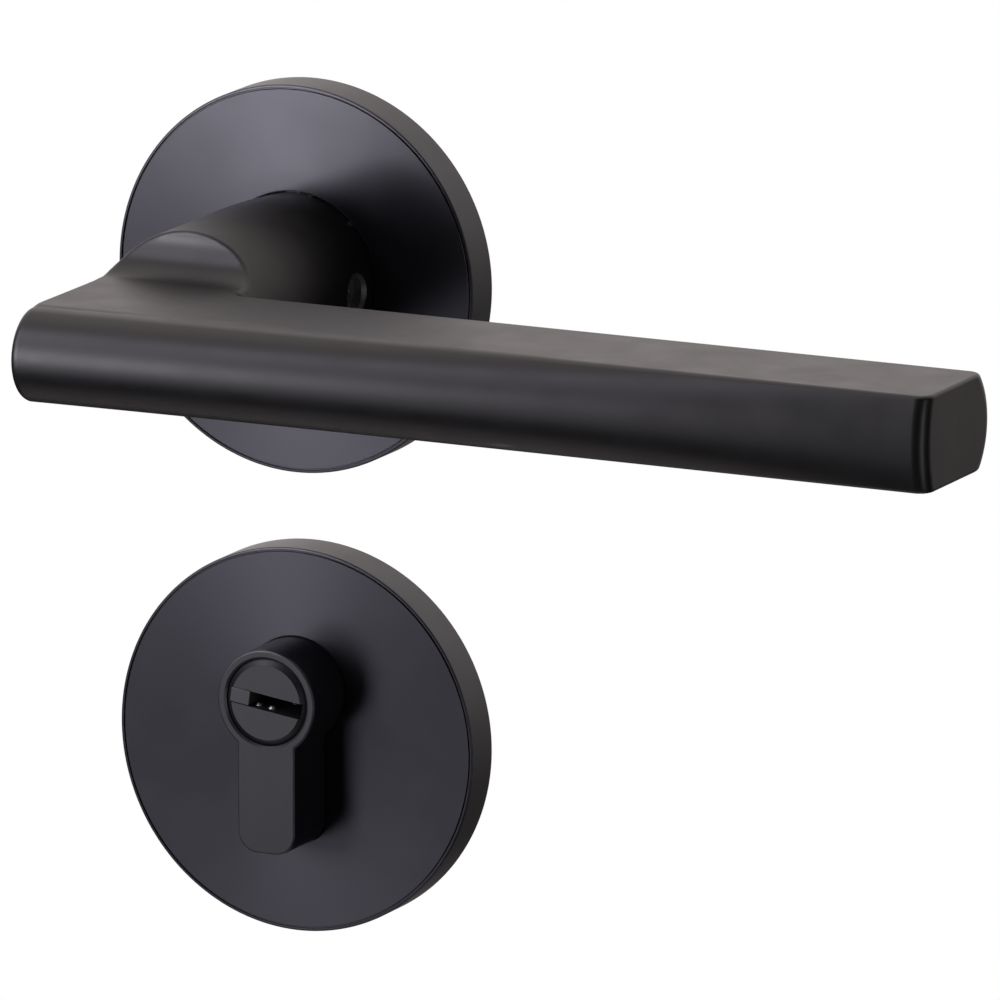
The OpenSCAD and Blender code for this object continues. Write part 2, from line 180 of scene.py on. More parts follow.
def combine(obj, tool, operation="DIFFERENCE"):
    """Exact boolean of obj with tool, which is then removed."""
    modifier = obj.modifiers.new("cut", "BOOLEAN")
    modifier.operation = operation
    modifier.solver = "EXACT"
    modifier.object = tool
    settle(obj)
    bpy.data.objects.remove(tool)
    return obj


def soften(obj, width, segments=3, angle=30):
    """Bevels the edges sharper than angle and shades the rest smooth."""
    bevel = obj.modifiers.new("soften", "BEVEL")
    bevel.width = width * MM
    bevel.segments = segments
    bevel.limit_method = "ANGLE"
    bevel.angle_limit = math.radians(angle)
    settle(obj)
    return smooth(obj, angle)


def smooth(obj, angle=30):
    """Shades the mesh smooth, with sharp edges kept and large flat faces left flat."""
    for polygon in obj.data.polygons:
        polygon.use_smooth = True
    obj.data.set_sharp_from_angle(angle=math.radians(angle))
    weighted = obj.modifiers.new("weighted", "WEIGHTED_NORMAL")
    weighted.keep_sharp = True
    return settle(obj)


def prism(name, outline, low, high):
    """Solid between two distances from the door; outline is (x, z) points, anticlockwise seen along +out."""
    n = len(outline)
    points = [(x, low, z) for x, z in outline] + [(x, high, z) for x, z in outline]
    faces = [(k, (k + 1) % n, n + (k + 1) % n, n + k) for k in range(n)]
    faces = [tuple(reversed(f)) for f in faces]
    faces += [tuple(range(n)), tuple(reversed(range(n, 2 * n)))]
    obj = new_object(name, points, faces)
    return outward(obj)


def outward(obj):
    """Makes all faces of a closed mesh point outwards."""
    work = bmesh.new()
    work.from_mesh(obj.data)
    bmesh.ops.recalc_face_normals(work, faces=work.faces)
    work.to_mesh(obj.data)
    work.free()
    return obj


def lathe(name, profile, centre=(0, 0), steps=192):
    """Solid of revolution about an axis out of the door; profile is a closed loop of (radius, out)."""
    n = len(profile)
    points, faces = [], []
    for i in range(steps):
        a = 2 * math.pi * i / steps
        points += [(centre[0] + r * math.cos(a), out, centre[1] + r * math.sin(a)) for r, out in profile]
    for i in range(steps):
        j = (i + 1) % steps
        faces += [(i * n + k, i * n + (k + 1) % n, j * n + (k + 1) % n, j * n + k) for k in range(n)]
    return outward(new_object(name, points, faces))


def rod(name, start, end, radius, end_radius=None, steps=64):
    """Closed round bar or cone between two points (x, out, z)."""
    end_radius = radius if end_radius is None else end_radius
    a, b = np.array(start, float), np.array(end, float)
    axis = (b - a) / np.linalg.norm(b - a)
    side = np.cross(axis, [0.0, 0.0, 1.0] if abs(axis[2]) < 0.9 else [1.0, 0.0, 0.0])
    side /= np.linalg.norm(side)
    over = np.cross(axis, side)
    turn = np.linspace(0, 2 * np.pi, steps, endpoint=False)
    ring = np.cos(turn)[:, None] * side + np.sin(turn)[:, None] * over
    points = np.concatenate([a + radius * ring, b + end_radius * ring])
    faces = [(k, (k + 1) % steps, steps + (k + 1) % steps, steps + k) for k in range(steps)]
    faces += [tuple(reversed(range(steps))), tuple(range(steps, 2 * steps))]
    return outward(new_object(name, points, faces))


def block(name, low, high, turn=0.0, about=(0.0, 0.0)):
    """Box between two corners (x, out, z), turned about an axis out of the door."""
    corners = [(low[0], low[2]), (high[0], low[2]), (high[0], high[2]), (low[0], high[2])]
    c, s = math.cos(turn), math.sin(turn)
    outline = [(about[0] + c * x - s * z, about[1] + s * x + c * z) for x, z in corners]
    return prism(name, outline, low[1], high[1])


def arc(cx, cy, r, start, end, steps):
    """Points on an arc, in degrees."""
    return [(cx + r * math.cos(math.radians(a)), cy + r * math.sin(math.radians(a)))
            for a in np.linspace(start, end, steps + 1)]


# ---------------------------------------------------------------- lever casting
def rounded_max(a, b, r):
    """Intersection of two solids with a rounded outer edge."""
    return np.minimum(np.maximum(a, b), -r) + np.hypot(np.maximum(a + r, 0), np.maximum(b + r, 0))


def rounded_min(a, b, r):
    """Union of two solids with a filleted inner corner."""
    return np.maximum(np.minimum(a, b), r) - np.hypot(np.maximum(r - a, 0), np.maximum(r - b, 0))


def ease(low, high, v):
    t = np.clip((v - low) / (high - low), 0, 1)
    return t * t * (3 - 2 * t)


def bulged_radius(bulge):
    return (BAR_HALF ** 2 + bulge ** 2) / (2 * bulge)


def lever_field(x, out, z):
    """Signed distance to the casting's skin, negative inside; a close estimate near the skin."""
    along = np.clip((x - BAR_LEFT) / (BAR_TIP - BAR_LEFT), 0, 1)
    nose = NOSE_NECK + (NOSE_TIP - NOSE_NECK) * along
    nose_r, back_r = bulged_radius(nose), bulged_radius(BACK_BULGE)
    nose_mid = BAR_FRONT + nose - nose_r
    inward = np.abs(z) - INWARD_SLOPE * (nose_mid - out)
    front = np.where(out > nose_mid, np.hypot(out - nose_mid, z), inward) - nose_r
    back_mid = BAR_REAR - BACK_BULGE + back_r
    back = np.where(out < back_mid, np.hypot(out - back_mid, z), np.abs(z)) - back_r
    plan = rounded_max(np.maximum(front, back), x - BAR_TIP, TIP_EDGE_R)

    tube = np.hypot(x, z) - NECK_R - NECK_GROW * ease(4, 20, out)
    tube = np.maximum(tube, out - (BAR_FRONT - 4))
    body = rounded_min(tube, plan, CORNER_R * ease(0, 10, x))
    left = BAR_LEFT - (NECK_R + NECK_GROW + BAR_LEFT) * (1 - ease(36, 56, out))
    body = rounded_max(body, left - x, LEFT_EDGE_R)

    slab = np.abs(z) - BAR_HALF
    rise = np.minimum(np.abs(z), BAR_HALF + SCOOP_R)
    scoop = SCOOP_R - np.hypot(out - SCOOP_OUT, BAR_HALF + SCOOP_R - rise)
    keep = np.where(out > SCOOP_OUT, slab, scoop)
    near_tube = np.maximum(keep, tube - 1.2)
    high_limit = np.minimum(slab, near_tube)
    skin = rounded_max(body, high_limit, EDGE_R)
    return np.maximum(skin, NECK_LOW - out)


def gradient(field, p, step=0.02):
    shift = np.eye(3) * step
    parts = [field(*(p + s).T) - field(*(p - s).T) for s in shift]
    g = np.stack(parts, 1)
    return g / np.maximum(np.linalg.norm(g, axis=1, keepdims=True), 1e-9)


def surface_net(field, axes, rounds=4):
    """Quads on the zero surface of field, one vertex for each grid cell that the surface crosses."""
    grid = np.stack(np.meshgrid(*axes, indexing="ij"), -1)
    value = field(grid[..., 0], grid[..., 1], grid[..., 2])
    inside = value < 0
    cells = [n - 1 for n in value.shape]
    total, count = np.zeros(cells + [3]), np.zeros(cells)
    crossings = []
    for axis in range(3):
        head = [slice(None)] * 3
        tail = [slice(None)] * 3
        head[axis], tail[axis] = slice(1, None), slice(None, -1)
        a, b = value[tuple(tail)], value[tuple(head)]
        crossed = inside[tuple(tail)] != inside[tuple(head)]
        t = np.where(crossed, a / np.where(crossed, a - b, 1), 0)[..., None]
        place = grid[tuple(tail)] * (1 - t) + grid[tuple(head)] * t
        crossings.append((crossed, inside[tuple(tail)]))
        others = [k for k in range(3) if k != axis]
        for du in (0, 1):
            for dv in (0, 1):
                pick = [slice(None)] * 3
                pick[others[0]] = slice(du, cells[others[0]] + du)
                pick[others[1]] = slice(dv, cells[others[1]] + dv)
                hit = crossed[tuple(pick)]
                total += place[tuple(pick)] * hit[..., None]
                count += hit
    used = count > 0
    number = np.full(cells, -1)
    number[used] = np.arange(used.sum())
    points = total[used] / count[used][:, None]
    for _ in range(rounds):
        points -= gradient(field, points) * field(*points.T)[:, None]
    faces = []
    for axis, (crossed, starts_inside) in enumerate(crossings):
        u, v = (axis + 1) % 3, (axis + 2) % 3
        places = np.argwhere(crossed)
        ok = (places[:, u] > 0) & (places[:, v] > 0) & (places[:, u] < cells[u]) & (places[:, v] < cells[v])
        places = places[ok]
        corner = []
        for du, dv in ((-1, -1), (0, -1), (0, 0), (-1, 0)):
            index = places.copy()
            index[:, u] += du
            index[:, v] += dv
            corner.append(number[tuple(index.T)])
        quads = np.stack(corner, 1)
        inward = ~starts_inside[tuple(places.T)]
        quads[inward] = quads[inward][:, ::-1]
        faces.append(quads)
    return points, np.concatenate(faces)


def steps(*spans):
    """Grid lines from (start, end, pitch) spans that follow on from each other."""
    lines = [np.linspace(a, b, max(2, round((b - a) / pitch) + 1))[:-1] for a, b, pitch in spans]
    return np.concatenate(lines + [[spans[-1][1]]])


def field_normals(obj, field, tolerance=0.03):
    """Shades the skin with the field's own normals, and leaves cut faces flat or smooth by angle."""
    mesh = obj.data
    co = np.zeros(len(mesh.vertices) * 3)
    mesh.vertices.foreach_get("co", co)
    local = co.reshape(-1, 3) / MM
    local[:, 1] *= -1
    near = np.abs(field(*local.T)) < tolerance
    g = gradient(field, local)
    g[:, 1] *= -1
    loop_vertex = np.zeros(len(mesh.loops), int)
    mesh.loops.foreach_get("vertex_index", loop_vertex)
    normals = np.zeros((len(mesh.loops), 3))
    for polygon in mesh.polygons:
        loops = list(polygon.loop_indices)
        vertices = loop_vertex[loops]
        if near[vertices].all() and (g[vertices] @ np.array(polygon.normal)).min() > 0.5:
            normals[loops] = g[vertices]
    mesh.normals_split_custom_set(normals.tolist())


def make_lever():
    # The grid is offset so that none of its lines lies exactly on a face of the casting.
    fine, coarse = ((0.5, 1.6))
    xs = steps((-17.1, 27, fine), (27, BAR_TIP - 2.4, coarse), (BAR_TIP - 2.4, BAR_TIP + 0.6, 0.3))
    outs = steps((NECK_LOW - 1, 42, fine * 1.5), (42, 52, 0.3), (52, 82, fine))
    lower = steps((-15.1, -5.9, 0.3), (-5.9, 0, fine))
    zs = np.concatenate([lower, -lower[-2::-1]])
    points, quads = surface_net(lever_field, (xs, outs, zs))
    lever = new_object("lever_casting", points, quads.tolist())
    outward(lever)
    groove_r = SHANK_R - GROOVE_DEEP
    shank = lathe("shank", [(AXIS_R, SHANK_END), (SHANK_R - 0.4, SHANK_END), (SHANK_R, SHANK_END + 0.2),
        (SHANK_R, GROOVE_LOW), (groove_r, GROOVE_LOW), (groove_r, GROOVE_HIGH),
        (SHANK_R, GROOVE_HIGH), (SHANK_R, NECK_LOW + 2), (AXIS_R, NECK_LOW + 2)], steps=96)
    combine(lever, shank, "UNION")
    half = SOCKET_HALF
    combine(lever, block("socket", (-half, -3, -half), (half, spindle_high[1] + 0.5, half)))
    combine(lever, rod("grub_hole", (half - 1, GRUB_OUT, 0), (20, GRUB_OUT, 0), GRUB_R))
    combine(lever, rod("grub_chamfer", (NECK_R - 0.6, GRUB_OUT, 0), (NECK_R + 1.4, GRUB_OUT, 0), 2.8, 4.8))
    smooth(lever, 35)
    field_normals(lever, lever_field)
    return lever


# ---------------------------------------------------------------- covers
def cover_profile(inner_r):
    """Cup with a rounded rim, a fine line just inside it, and a hole of inner_r."""
    r, t = COVER_R, COVER_T
    under = t - FACE_WALL
    rim = arc(r - RIM_EDGE, t - RIM_EDGE, RIM_EDGE, 0, 90, 5)
    foot = arc(r - 0.3, 0.3, 0.3, -90, 0, 3)
    inside = arc(r - RIM_WALL - 0.6, under - 0.6, 0.6, 0, 90, 4)
    return ([(r - RIM_WALL, 0)] + foot + rim
        + [(LINE_R + 0.06, t), (LINE_R, t - 0.06), (LINE_R - 0.05, t - LINE_DEEP),
           (LINE_R - LINE_W + 0.05, t - LINE_DEEP), (LINE_R - LINE_W, t - 0.06), (LINE_R - LINE_W - 0.06, t)]
        + [(r - 6, t), (inner_r + 4, t), (inner_r + 0.3, t), (inner_r + 0.08, t - 0.08), (inner_r, t - 0.3)]
        + [(inner_r, under), (inner_r + 4, under)] + list(reversed(inside)))


def euro_outline(margin, steps_round=72, steps_corner=12):
    """Outline of the cylinder's section, grown by margin, as (x, z) points, anticlockwise."""
    r, half = CYL_R + margin, LEG_HALF + margin
    low, corner = LEG_LOW + margin, LEG_CORNER + margin
    meet = math.degrees(math.asin(half / r))
    points = arc(0, 0, r, -90 + meet, 270 - meet, steps_round)
    points += arc(-half + corner, -low + corner, corner, 180, 270, steps_corner)
    points += arc(half - corner, -low + corner, corner, -90, 0, steps_corner)
    return [(x, z + PLUG_Z) for x, z in points]


def make_rose_cap():
    cap = lathe("rose_cap", cover_profile(NECK_R + NECK_GAP), steps=256)
    return smooth(cap, 25)


def make_escutcheon_cap():
    cap = lathe("escutcheon_cap", cover_profile(AXIS_R), (0, ESCUTCHEON_Z), 256)
    combine(cap, prism("cut_out", euro_outline(CYLINDER_GAP), -2, COVER_T + 2))
    combine(cap, prism("lip", euro_outline(LIP_GAP), COVER_T - LIP_DEEP, COVER_T + 2))
    return smooth(cap, 25)


# ---------------------------------------------------------------- cylinder
def make_housing():
    housing = soften(prism("cylinder_body", euro_outline(0), CYL_END, FACE_OUT), 0.35, 3, 50)
    bore = PLUG_R + RUN_GAP
    tail_bore = PLUG_TAIL_R + RUN_GAP
    cam_low, cam_high = CAM_OUT - CAM_HALF, CAM_OUT + CAM_HALF
    combine(housing, rod("bore", (0, cam_high, PLUG_Z), (0, FACE_OUT + 3, PLUG_Z), bore, steps=96))
    combine(housing, rod("lead_in", (0, FACE_OUT - 0.35, PLUG_Z), (0, FACE_OUT + 0.35, PLUG_Z),
        bore, bore + 0.7, 96))
    combine(housing, rod("rear_bore", (0, CAM_OUT - 8.5, PLUG_Z), (0, CAM_OUT + 6, PLUG_Z), tail_bore))
    combine(housing, rod("cam_slot", (0, cam_low, PLUG_Z), (0, cam_high, PLUG_Z), CAM_REACH, steps=96))
    screw_z = PLUG_Z - SCREW_BELOW
    combine(housing, rod("screw_hole", (-20, CAM_OUT, screw_z), (20, CAM_OUT, screw_z), SCREW_R))
    return smooth(housing, 30)


def plug_turned(points):
    """Points (x, out, z) about the plug's axis, turned with the keyway and moved into place."""
    c, s = math.cos(KEYWAY_ANGLE), math.sin(KEYWAY_ANGLE)
    return [(c * x - s * z, out, PLUG_Z + s * x + c * z) for x, out, z in points]


def make_plug():
    tail_end = CAM_OUT - 8
    step_out = CAM_OUT + CAM_HALF + RUN_GAP
    face, inner_r = PLUG_FACE_OUT, PLUG_R - PLUG_BEVEL
    profile = [(AXIS_R, tail_end)] + arc(PLUG_TAIL_R - 0.4, tail_end + 0.4, 0.4, -90, 0, 3)
    profile += [(PLUG_TAIL_R, step_out), (PLUG_R, step_out), (PLUG_R, face - 0.75)]
    profile += [(PLUG_R - 0.1, face - 0.62), (inner_r, face - 0.1)]
    profile += [(inner_r - 0.12, face), (PLUG_R - 2.4, face), (AXIS_R, face)]
    plug = lathe("key_plug", profile, (0, PLUG_Z), 128)
    half = KEYWAY_H / 2
    about = (0, PLUG_Z)
    overlap = 0.5
    combine(plug, block("keyway", (KEYWAY_LEFT - overlap, FACE_OUT - 29, -half),
        (KEYWAY_RIGHT, face + 2, half), KEYWAY_ANGLE, about))
    combine(plug, block("insert_pocket", (INSERT_LEFT, FACE_OUT - INSERT_DEEP, -half),
        (KEYWAY_LEFT + overlap, face + 2, half), KEYWAY_ANGLE, about))
    return smooth(soften(plug, 0.07, 2, 40), 15)


def make_insert():
    half = KEYWAY_H / 2 - INSERT_GAP
    low = (INSERT_LEFT + INSERT_GAP, FACE_OUT - INSERT_DEEP + 0.1, -half)
    high = (KEYWAY_LEFT, FACE_OUT + 0.06, half)
    return soften(block("keyway_block", low, high, KEYWAY_ANGLE, (0, PLUG_Z)), 0.1, 3)


def make_upper_pins():
    """Key pins that hang into the keyway from above, each with a blunt cone at its tip."""
    pins = None
    for depth in PIN_DEPTHS:
        for column in UPPER_COLUMNS:
            points = [(column, FACE_OUT - depth, z) for z in (PIN_TIP, PIN_SHOULDER, PIN_TOP)]
            foot, middle, head = plug_turned(points)
            piece = rod("upper_pin", middle, head, PIN_R, steps=32)
            combine(piece, rod("tip", foot, middle, PIN_TIP_R, PIN_R, 32), "UNION")
            pins = piece if pins is None else combine(pins, piece, "UNION")
    return smooth(pins, 30)


# ---------------------------------------------------------------- materials
COATING_TINT = (1.0, 0.96, 0.98, 1)
SPUN_TINT = (0.92, 0.90, 1.0, 1)
CHAMFER_MIDDLE = 0.7
CHAMFER_SPREAD = 0.27


class Nodes:
    """Small helper for building one node material."""

    def __init__(self, name):
        self.material = bpy.data.materials.new(name)
        self.material.use_nodes = True
        self.tree = self.material.node_tree
        self.shader = self.tree.nodes["Principled BSDF"]
        self.place = self.tree.nodes.new("ShaderNodeTexCoord").outputs["Object"]

    def add(self, kind, **values):
        node = self.tree.nodes.new(kind)
        for key, value in values.items():
            setattr(node, key, value)
        return node

    def link(self, source, target):
        self.tree.links.new(source, target)

    def stretched(self, scale):
        mapping = self.add("ShaderNodeMapping")
        mapping.inputs["Scale"].default_value = scale
        self.link(self.place, mapping.inputs["Vector"])
        return mapping.outputs["Vector"]

    def noise(self, scale, detail=3.0, rough=0.5, vector=None):
        node = self.add("ShaderNodeTexNoise")
        node.inputs["Scale"].default_value = scale
        node.inputs["Detail"].default_value = detail
        node.inputs["Roughness"].default_value = rough
        self.link(vector or self.place, node.inputs["Vector"])
        return node.outputs["Fac"]

    def ramp(self, source, low, high, start=0.3, end=0.7):
        node = self.add("ShaderNodeMapRange")
        node.inputs["From Min"].default_value = start
        node.inputs["From Max"].default_value = end
        node.inputs["To Min"].default_value = low
        node.inputs["To Max"].default_value = high
        self.link(source, node.inputs["Value"])
        return node.outputs["Result"]

    def mix(self, factor, a, b):
        node = self.add("ShaderNodeMix", data_type="RGBA")
        self.link(factor, node.inputs["Factor"])
        for socket, value in ((node.inputs["A"], a), (node.inputs["B"], b)):
            if isinstance(value, tuple):
                socket.default_value = (*value, 1)
            else:
                self.link(value, socket)
        return node.outputs["Result"]

    def bump(self, height, distance, strength=1.0, below=None):
        node = self.add("ShaderNodeBump")
        node.inputs["Distance"].default_value = distance * MM
        node.inputs["Strength"].default_value = strength
        self.link(height, node.inputs["Height"])
        if below is not None:
            self.link(below, node.inputs["Normal"])
        return node.outputs["Normal"]

    def edges(self, start, end):
        """0 on flats and hollows, rising to 1 on the sharpest outer edges."""
        geometry = self.add("ShaderNodeNewGeometry")
        return self.ramp(geometry.outputs["Pointiness"], 0.0, 1.0, start, end)

    def chamfers(self):
        """1 on the facets that slope between a face towards the door and a side wall, 0 elsewhere."""
        split = self.add("ShaderNodeSeparateXYZ")
        self.link(self.add("ShaderNodeNewGeometry").outputs["True Normal"], split.inputs["Vector"])
        slope = self.add("ShaderNodeMath", operation="ABSOLUTE")
        self.link(split.outputs["Y"], slope.inputs[0])
        near_middle = self.add("ShaderNodeMath", operation="COMPARE")
        near_middle.inputs[1].default_value = CHAMFER_MIDDLE
        near_middle.inputs[2].default_value = CHAMFER_SPREAD
        self.link(slope.outputs["Value"], near_middle.inputs[0])
        return near_middle.outputs["Value"]

    def finish(self, colour, roughness, normal, metallic=0.0):
        self.link(colour, self.shader.inputs["Base Color"])
        self.link(roughness, self.shader.inputs["Roughness"])
        self.link(normal, self.shader.inputs["Normal"])
        self.shader.inputs["Metallic"].default_value = metallic
        self.shader.inputs["Specular IOR Level"].default_value = 0.5
        return self.material


def black_coating(name, dark, light, edge_wear_and_painted_light, rough, grain):
    """Baked-on satin black: cloudy tone, fine orange peel, and lighter sharp edges, partly rubbed coating
    and partly a painted edge highlight.
    """
    n = Nodes(name)
    cloud = n.noise(45, 4)
    colour = n.mix(n.ramp(cloud, 0, 1), dark, light)
    speck = n.ramp(n.noise(5200, 2), 0, 0.25, 0.62, 0.72)
    colour = n.mix(speck, colour, tuple(2.2 * c for c in light))
    # Sharp edges painted lighter: rubbed coating and a painted highlight along the edges.
    colour = n.mix(n.edges(0.535, 0.60), colour, edge_wear_and_painted_light)
    roughness = n.ramp(n.noise(130, 5), rough - 0.035, rough + 0.035)
    peel = n.bump(n.noise(1500, 2), 0.010, grain)
    fine = n.bump(n.noise(7000, 2), 0.004, grain, peel)
    n.shader.inputs["Specular Tint"].default_value = COATING_TINT
    return n.finish(colour, roughness, fine)


def spun_black(name, dark, light, edge_wear_and_painted_light, rough):
    """Satin black over the fine rings that spinning leaves on a round cover."""
    n = Nodes(name)
    cloud = n.noise(45, 4)
    colour = n.mix(n.ramp(cloud, 0, 1), dark, light)
    # Chamfers and the rim painted lighter: rubbed edges and a painted edge highlight.
    colour = n.mix(n.chamfers(), colour, edge_wear_and_painted_light)
    roughness = n.ramp(n.noise(130, 5), rough - 0.02, rough + 0.02)
    rings = n.add("ShaderNodeTangent", direction_type="RADIAL", axis="Y")
    n.link(rings.outputs["Tangent"], n.shader.inputs["Tangent"])
    n.shader.inputs["Anisotropic"].default_value = 0.6
    n.shader.inputs["Anisotropic Rotation"].default_value = 0.25
    n.shader.inputs["Specular Tint"].default_value = SPUN_TINT
    peel = n.bump(n.noise(1500, 2), 0.006, 0.3)
    return n.finish(colour, roughness, peel)


def machined_black(name, dark, light, edge_wear_and_painted_light, rough):
    """Black coating over vertical machining marks."""
    n = Nodes(name)
    streak = n.noise(1, 4, 0.6, n.stretched((2600, 2600, 70)))
    cloud = n.noise(160, 3)
    colour = n.mix(n.ramp(streak, 0, 1), dark, light)
    colour = n.mix(n.ramp(cloud, 0, 0.5), colour, light)
    # Chamfers take the edge colour: rubbed edges and a painted highlight where it is lighter, a painted
    # shade where it is darker.
    colour = n.mix(n.chamfers(), colour, edge_wear_and_painted_light)
    roughness = n.ramp(streak, rough - 0.05, rough + 0.08)
    normal = n.bump(streak, 0.012, 0.6)
    return n.finish(colour, roughness, normal)


def turned_metal(name, colour_a, colour_b, rough, scale=(900, 900, 900), metallic=1.0):
    """Bare metal with fine tool marks and a mottled tone."""
    n = Nodes(name)
    marks = n.noise(1, 4, 0.6, n.stretched(scale))
    stain = n.noise(120, 4)
    colour = n.mix(n.ramp(stain, 0, 1), colour_a, colour_b)
    colour = n.mix(n.chamfers(), colour, tuple(min(1, 1.15 * c) for c in colour_b))
    roughness = n.ramp(marks, rough - 0.06, rough + 0.1)
    normal = n.bump(marks, 0.006, 0.5)
    return n.finish(colour, roughness, normal, metallic)


def moulded(name, colour_a, colour_b, rough):
    """Moulded plastic with a faint matte grain."""
    n = Nodes(name)
    colour = n.mix(n.ramp(n.noise(90, 3), 0, 1), colour_a, colour_b)
    colour = n.mix(n.chamfers(), colour, tuple(min(1, 1.1 * c) for c in colour_b))
    roughness = n.ramp(n.noise(400, 3), rough - 0.05, rough + 0.05)
    normal = n.bump(n.noise(4200, 2), 0.01, 0.5)
    return n.finish(colour, roughness, normal)


# The fourth colour of each finish goes on its sharp edges or chamfers, lighter than the rest: rubbed edges
# and a painted edge highlight.
BLACKS = {
    "lever_black": black_coating("lever_black", (0.0030, 0.0028, 0.0034), (0.0050, 0.0047, 0.0052),
        (0.045, 0.043, 0.043), 0.38, 0.5),
    "cover_black": spun_black("cover_black", (0.0040, 0.0038, 0.0052), (0.0065, 0.0062, 0.0082),
        (0.020, 0.019, 0.021), 0.30),
    "cylinder_black": machined_black("cylinder_black", (0.0055, 0.0053, 0.0080), (0.0095, 0.0092, 0.0140),
        (0.022, 0.021, 0.026), 0.36),
}
# The plug's bevel ring is painted darker than its face (painted shade); the insert's chamfers are painted
# lighter (rubbed edges and a painted highlight).
PLUG_FACE = machined_black("plug_face", (0.011, 0.011, 0.013), (0.018, 0.0178, 0.021),
    (0.006, 0.006, 0.008), 0.40)
INSERT_FACE = machined_black("insert_face", (0.028, 0.028, 0.030), (0.040, 0.040, 0.042),
    (0.06, 0.06, 0.062), 0.46)
METALS = {
    "steel": turned_metal("zinc_steel", (0.50, 0.51, 0.53), (0.62, 0.62, 0.63), 0.34, (900, 90, 900)),
    "spring_steel": turned_metal("spring_steel", (0.30, 0.30, 0.32), (0.42, 0.41, 0.42), 0.30),
    "pin_brass": turned_metal("turned_brass", (0.66, 0.48, 0.22), (0.78, 0.60, 0.32), 0.26),
    "pin_nickel": turned_metal("turned_nickel", (0.72, 0.71, 0.69), (0.84, 0.83, 0.80), 0.36),
    "nylon": moulded("nylon", (0.010, 0.010, 0.010), (0.016, 0.016, 0.016), 0.5),
}
FINISHES = {**BLACKS, **METALS}


def paint(obj, material):
    obj.data.materials.clear()
    obj.data.materials.append(material)


def place(obj, material, body, slot, *nodes):
    """Gives a new piece its material and its body, and hides the CAD nodes that it stands for."""
    paint(obj, material)
    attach(obj, body)
    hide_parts(*nodes)


# ---------------------------------------------------------------- pieces
slot_of = {s["node"]: s["material_slot"] for s in frame["record"]["subparts"]}
for name, node in frame["nodes"].items():
    paint(node, FINISHES[slot_of[name]])
    edge = node.modifiers.new("edge", "BEVEL")
    edge.width = 0.08 * MM
    edge.segments = 2
    edge.limit_method = "ANGLE"
    edge.angle_limit = math.radians(40)
    edge.use_clamp_overlap = True

place(make_lever(), FINISHES["lever_black"], LEVER_BODY, "lever_black", "lever_handle")
place(make_rose_cap(), FINISHES["cover_black"], DOOR_BODY, "cover_black", "rose_cover")
place(make_escutcheon_cap(), FINISHES["cover_black"], DOOR_BODY, "cover_black", "escutcheon_cover")
place(make_housing(), FINISHES["cylinder_black"], DOOR_BODY, "cylinder_black", "cylinder_housing")
place(make_plug(), PLUG_FACE, PLUG_BODY, "cylinder_black", "cylinder_plug")
place(make_upper_pins(), FINISHES["pin_nickel"], PLUG_BODY, "pin_nickel", "upper_key_pins")
place(make_insert(), INSERT_FACE, PLUG_BODY, "cylinder_black", "keyway_insert")


# ---------------------------------------------------------------- floor, light and camera
def area_light(name, place_m, aim_m, size, power, colour=(1, 1, 1)):
    data = bpy.data.lights.new(name, "AREA")
    data.shape = "RECTANGLE"
    data.size, data.size_y = size
    data.energy = power
    data.color = colour
    lamp = bpy.data.objects.new(name, data)
    bpy.context.scene.collection.objects.link(lamp)
    lamp.location = place_m
    direction = np.array(place_m) - np.array(aim_m)
    yaw = math.atan2(direction[0], -direction[1])
    tilt = math.atan2(math.hypot(direction[0], direction[1]), direction[2])
    lamp.rotation_euler = (tilt, 0, yaw)
    lamp.visible_camera = False
    return lamp


# The room's light by direction: the dot product with BACKDROP_SIDE rises from START to FULL.
BACKDROP_SIDE = (-0.2, 0.7, 0.69)
BACKDROP_START = 0.15
BACKDROP_FULL = 0.85
BACKDROP_LEVEL = 1.0
BACKDROP_TINT = (1.0, 0.93, 0.91, 1)
COOL = (0.91, 0.90, 1.0)
ROOM_LEVEL = 0.03

# Camera: direction from the object in degrees, distance in metres, lens in millimetres
AZIMUTH, ELEVATION, ROLL = 25.98, 12.67, 0.03
DISTANCE, LENS, SENSOR = 2.5, 582.3, 36
TARGET = (0.0475, -0.0312, -0.0259)
FLOOR_HALF, FLOOR_Z = 0.9, -1.7


def make_stage():
    data = bpy.data.meshes.new("floor")
    corners = [(x * FLOOR_HALF, y * FLOOR_HALF, FLOOR_Z) for x, y in ((-1, -1), (1, -1), (1, 1), (-1, 1))]
    data.from_pydata(corners, [], [(0, 1, 2, 3)])
    floor = bpy.data.objects.new("floor", data)
    bpy.context.scene.collection.objects.link(floor)
    n = Nodes("pale_floor")
    colour = n.mix(n.ramp(n.noise(2, 2), 0, 1), (0.86, 0.86, 0.86), (0.90, 0.90, 0.90))
    roughness = n.ramp(n.noise(3, 2), 0.75, 0.85)
    paint(floor, n.finish(colour, roughness, n.bump(n.noise(60, 2), 0.2, 0.05)))


def make_camera():
    azimuth, elevation, roll = (math.radians(a) for a in (AZIMUTH, ELEVATION, ROLL))
    back = np.array([math.sin(azimuth) * math.cos(elevation), -math.cos(azimuth) * math.cos(elevation),
        math.sin(elevation)])
    data = bpy.data.cameras.new("camera")
    data.lens = LENS
    data.sensor_width = SENSOR
    data.clip_start, data.clip_end = 0.05, 50
    camera = bpy.data.objects.new("camera", data)
    bpy.context.scene.collection.objects.link(camera)
    camera.location = np.array(TARGET) + DISTANCE * back
    camera.rotation_euler = (math.pi / 2 - elevation, 0, azimuth)
    camera.rotation_euler.rotate_axis("Z", roll)
    bpy.context.scene.camera = camera


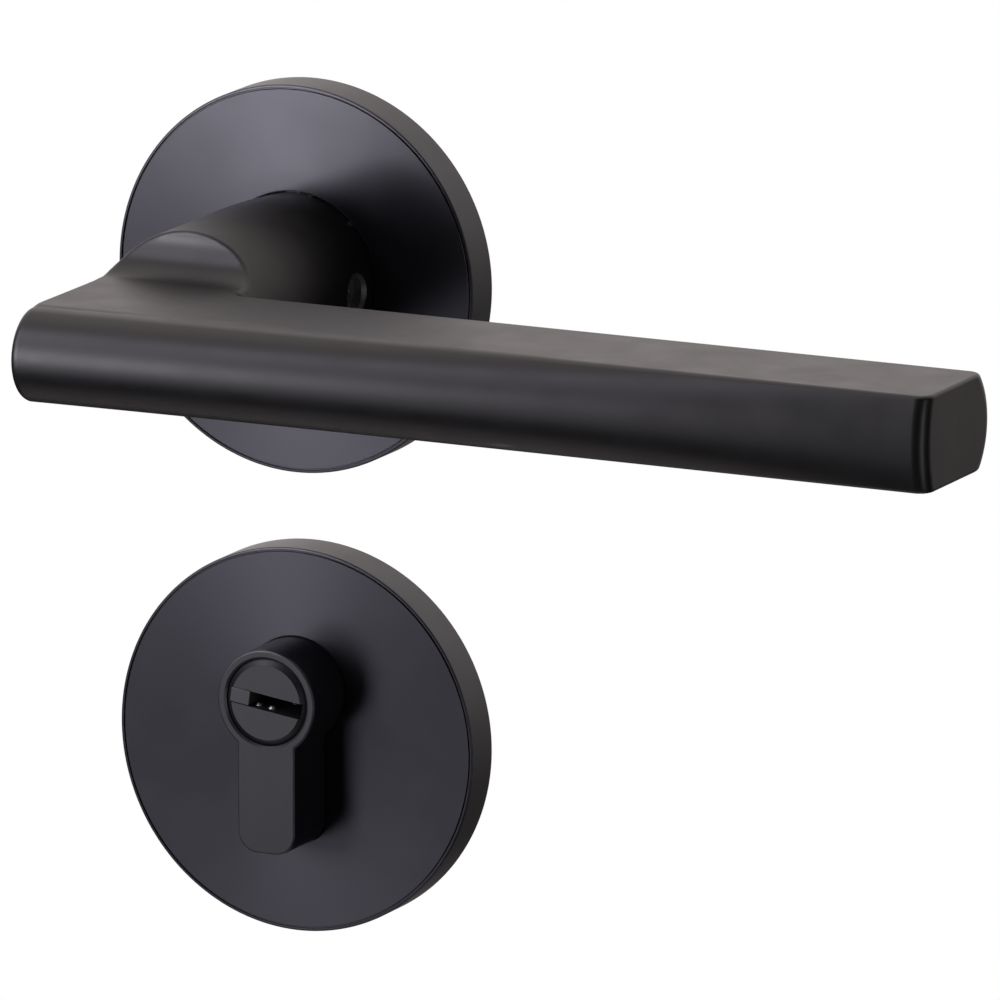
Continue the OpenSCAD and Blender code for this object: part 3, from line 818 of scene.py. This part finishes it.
def make_world():
    """Plain white behind the object; for the light, a room that is dim in front and brighter behind."""
    world = bpy.data.worlds.new("studio")
    bpy.context.scene.world = world
    world.use_nodes = True
    nodes, links = world.node_tree.nodes, world.node_tree.links
    place = nodes.new("ShaderNodeTexCoord").outputs["Generated"]
    towards = nodes.new("ShaderNodeVectorMath")
    towards.operation = "DOT_PRODUCT"
    towards.inputs[1].default_value = BACKDROP_SIDE
    links.new(place, towards.inputs[0])
    ramp = nodes.new("ShaderNodeMapRange")
    ramp.interpolation_type = "SMOOTHSTEP"
    ramp.inputs["From Min"].default_value = BACKDROP_START
    ramp.inputs["From Max"].default_value = BACKDROP_FULL
    ramp.inputs["To Min"].default_value = ROOM_LEVEL
    ramp.inputs["To Max"].default_value = BACKDROP_LEVEL
    links.new(towards.outputs["Value"], ramp.inputs["Value"])
    room = nodes["Background"]
    room.inputs["Color"].default_value = BACKDROP_TINT
    links.new(ramp.outputs["Result"], room.inputs["Strength"])
    white = nodes.new("ShaderNodeBackground")
    white.inputs["Color"].default_value = (1, 1, 1, 1)
    pick = nodes.new("ShaderNodeMixShader")
    links.new(nodes.new("ShaderNodeLightPath").outputs["Is Camera Ray"], pick.inputs["Fac"])
    links.new(room.outputs["Background"], pick.inputs[1])
    links.new(white.outputs["Background"], pick.inputs[2])
    links.new(pick.outputs["Shader"], nodes["World Output"].inputs["Surface"])


make_stage()
make_world()
make_camera()
area_light("softbox", (-0.38, -0.48, 0.26), (0.0, -0.03, 0.0), (0.36, 0.75), 3.0, COOL)
near_key = area_light("near_key", (-0.20, -0.41, 0.02), (0.0, 0.0, 0.02), (0.1, 0.16), 0.62,
    (0.95, 0.94, 1.0))
near_key.data.cycles.max_bounces = 0  # keeps its second reflection off the neck
area_light("low_fill", (-0.39, -0.79, -0.27), (0.0, 0.0, -0.07), (0.3, 0.3), 0.5, COOL)
area_light("right_panel", (0.92, -0.42, -0.15), (0.03, 0.0, -0.03), (0.2, 0.8), 1.2)
area_light("overhead", (-0.2, -0.1, 1.2), (0.03, -0.04, 0.0), (1.0, 1.0), 1.0, (1.0, 0.96, 0.94))
bpy.context.scene.view_settings.view_transform = "Standard"
